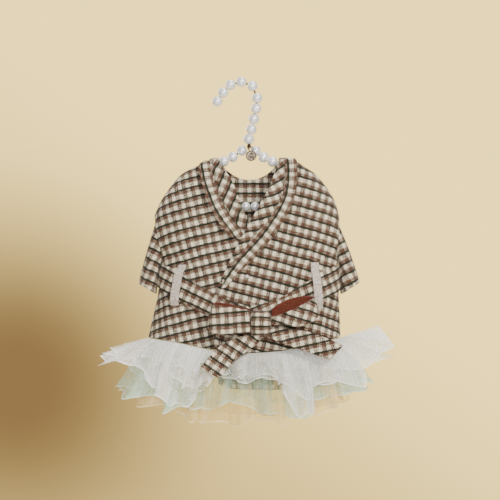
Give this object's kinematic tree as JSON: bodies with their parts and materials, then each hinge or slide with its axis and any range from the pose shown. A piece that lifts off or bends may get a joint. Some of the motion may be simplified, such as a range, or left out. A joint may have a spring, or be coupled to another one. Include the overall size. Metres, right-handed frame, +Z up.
{
  "type": "dog dress on a hanger",
  "caption": "Small dog's short-sleeved wrap dress in checked wool with a belt bow and a gathered tulle skirt, hung on a pearl-bead hanger.",
  "frame": {"origin": "where the hanger hangs: the top of the inside of its hook, in the middle plane of the hanger", "axes": "+X to the right when the bow faces the viewer, +Y to the back of the dress, +Z up"},
  "size_m": [0.2826, 0.135, 0.3297],
  "materials": {
    "wool_check": "matt brushed wool in a small cream, brown and dark green check",
    "velvet_ribbon": "light grey velvet",
    "tulle_white": "sheer white glitter tulle",
    "tulle_mint": "sheer grey-green tulle",
    "tulle_champagne": "sheer champagne tulle",
    "pearl_bead": "pearl lacquer",
    "dark_wire": "dark satin",
    "aged_bronze": "aged, satin"
  },
  "bodies": {
    "dress_on_hanger": {"front_left": "wool_check", "front_right": "wool_check", "back": "wool_check", "back_tail": "wool_check", "sleeve_left": "wool_check", "sleeve_right": "wool_check", "collar_left": "wool_check", "collar_right": "wool_check", "collar_band_left": "wool_check", "collar_band_right": "wool_check", "belt_left": "wool_check", "belt_right": "wool_check", "belt_back": "wool_check", "bow_knot": "wool_check", "bow_loop_left": "wool_check", "bow_loop_right": "wool_check", "bow_tail_left": "wool_check", "bow_tail_right": "wool_check", "ribbon_left": "velvet_ribbon", "ribbon_right": "velvet_ribbon", "tulle_white_front": "tulle_white", "tulle_white_back": "tulle_white", "tulle_mint_front": "tulle_mint", "tulle_mint_back": "tulle_mint", "tulle_champagne_front": "tulle_champagne", "tulle_champagne_back": "tulle_champagne", "hanger_hook": "pearl_bead", "hanger_arm_left": "pearl_bead", "hanger_arm_right": "pearl_bead", "hanger_bar": "pearl_bead", "wire_twist": "dark_wire", "charm_eye": "aged_bronze"},
    "charm": {"charm": "aged_bronze"}
  },
  "joints": [
    {"name": "charm_swing", "type": "hinge", "parent": "dress_on_hanger", "child": "charm", "pos_m": [0.01, -0.0066, -0.0571], "axis": [-1, 0, 0], "range_deg": [0, 60]}
  ]
}
